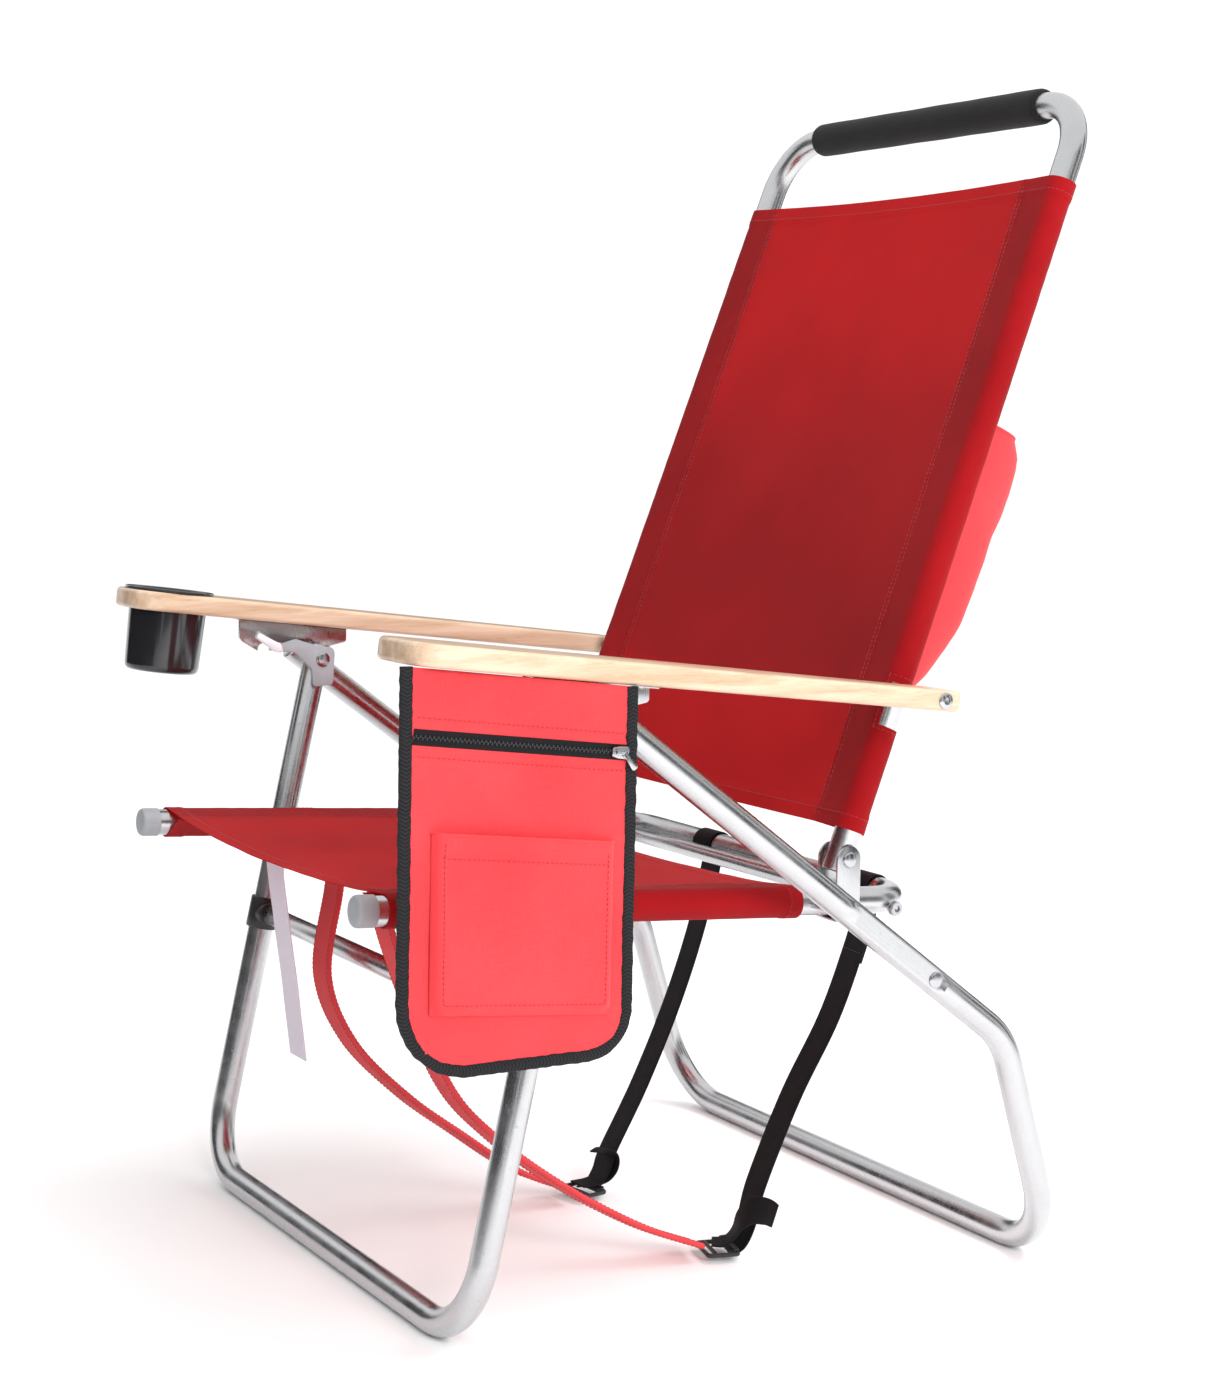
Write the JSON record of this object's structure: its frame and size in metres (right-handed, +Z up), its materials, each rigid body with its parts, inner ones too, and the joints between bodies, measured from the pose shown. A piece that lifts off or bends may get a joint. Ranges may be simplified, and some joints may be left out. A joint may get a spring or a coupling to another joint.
{
  "type": "folding beach chair",
  "caption": "Folding tubular beach chair with sling seat and back, wooden arms, cup holder, side pouch, rear pocket and shoulder straps.",
  "frame": {"origin": "on the floor, midway between the outermost points left to right and front to back", "axes": "+Z up, the sitter faces -Y, +X is the sitter's left"},
  "size_m": [0.712, 0.774, 1.1089],
  "materials": {
    "aluminium": "polished tube, lightly brushed",
    "steel": "bright zinc",
    "red_cloth": "woven polyester",
    "maple": "clear satin varnish",
    "black_plastic": "glossy",
    "grey_plastic": "satin",
    "foam": "matt foam",
    "black_webbing": "woven webbing",
    "pale_webbing": "smooth woven tape"
  },
  "bodies": {
    "front_legs": {"front_leg_frame": "aluminium", "front_crossbar": "aluminium", "crossbar_saddle_left": "black_plastic", "crossbar_saddle_right": "black_plastic", "apex_bolt_left": "steel", "apex_bolt_right": "steel", "seat_pivot_bolt_left": "steel", "seat_pivot_bolt_right": "steel"},
    "rear_legs": {"rear_leg_frame": "aluminium", "leg_rivet_left": "steel", "leg_rivet_right": "steel"},
    "seat": {"seat_frame": "aluminium", "seat_cross_tube": "aluminium", "seat_sling": "red_cloth", "closing_strap": "pale_webbing", "rail_end_cap_left": "grey_plastic", "rail_end_cap_right": "grey_plastic", "clevis_left": "aluminium", "clevis_right": "aluminium", "seat_spacer_left": "grey_plastic", "seat_spacer_right": "grey_plastic", "slide_pin_left": "steel", "slide_pin_right": "steel", "cross_tube_bolt_left": "steel", "cross_tube_bolt_right": "steel", "shoulder_strap_left": "red_cloth", "shoulder_strap_right": "red_cloth", "strap_webbing_left": "black_webbing", "strap_webbing_right": "black_webbing", "strap_buckle_left": "black_plastic", "strap_buckle_right": "black_plastic"},
    "back_hinge": {"clevis_rivet_left": "steel", "clevis_rivet_right": "steel"},
    "back": {"back_frame": "aluminium", "handle_grip": "foam", "back_sling": "red_cloth", "back_pocket": "red_cloth"},
    "arm_hinge": {"arm_pivot_bolt_left": "steel", "arm_pivot_bolt_right": "steel"},
    "arm_left": {"armrest_left": "maple", "arm_rack_left": "aluminium", "arm_pouch": "red_cloth", "pouch_patch_pocket": "red_cloth"},
    "arm_right": {"armrest_right": "maple", "arm_rack_right": "aluminium", "cup_holder": "black_plastic"},
    "zip": {"zip_slider": "steel"},
    "latch_left": {"latch_lever_left": "grey_plastic"},
    "latch_right": {"latch_lever_right": "grey_plastic"}
  },
  "joints": [
    {"name": "legs_fold", "type": "hinge", "parent": "front_legs", "child": "rear_legs", "pos_m": [0, -0.18, 0.532], "axis": [-1, 0, 0], "range_deg": [0, 56]},
    {"name": "seat_fold", "type": "hinge", "parent": "front_legs", "child": "seat", "pos_m": [0, -0.2147, 0.368], "axis": [-1, 0, 0], "range_deg": [0, 84], "deforming": ["closing_strap", "shoulder_strap_left", "shoulder_strap_right", "strap_webbing_left", "strap_webbing_right", "strap_buckle_left", "strap_buckle_right"]},
    {"name": "back_fold", "type": "hinge", "parent": "seat", "child": "back_hinge", "pos_m": [0, 0.102, 0.389], "axis": [1, 0, 0], "range_deg": [0, 84]},
    {"name": "back_recline", "type": "hinge", "parent": "back_hinge", "child": "back", "pos_m": [0, 0.102, 0.389], "axis": [-1, 0, 0], "range_deg": [0, 22]},
    {"name": "arms_fold", "type": "hinge", "parent": "back", "child": "arm_hinge", "pos_m": [0, 0.1588, 0.538], "axis": [-1, 0, 0], "range_deg": [0, 78]},
    {"name": "arm_left_recline", "type": "hinge", "parent": "arm_hinge", "child": "arm_left", "pos_m": [0, 0.1588, 0.538], "axis": [1, 0, 0], "range_deg": [0, 18]},
    {"name": "arm_right_recline", "type": "hinge", "parent": "arm_hinge", "child": "arm_right", "pos_m": [0, 0.1588, 0.538], "axis": [1, 0, 0], "range_deg": [0, 18]},
    {"name": "zip_slide", "type": "slide", "parent": "arm_left", "child": "zip", "axis": [0, -0.9955, 0.0946], "range_m": [0, 0.17]},
    {"name": "latch_left_lift", "type": "hinge", "parent": "front_legs", "child": "latch_left", "pos_m": [0, -0.18, 0.532], "axis": [-1, 0, 0], "range_deg": [0, 8]},
    {"name": "latch_right_lift", "type": "hinge", "parent": "front_legs", "child": "latch_right", "pos_m": [0, -0.18, 0.532], "axis": [-1, 0, 0], "range_deg": [0, 8]}
  ],
  "couplings": [
    {"joint": "seat_fold", "follows": "legs_fold", "ratio": 1.5},
    {"joint": "back_fold", "follows": "legs_fold", "ratio": 1.5},
    {"joint": "arms_fold", "follows": "legs_fold", "ratio": 1.3929},
    {"joint": "arm_left_recline", "follows": "back_recline", "ratio": 0.793},
    {"joint": "arm_right_recline", "follows": "back_recline", "ratio": 0.793}
  ]
}
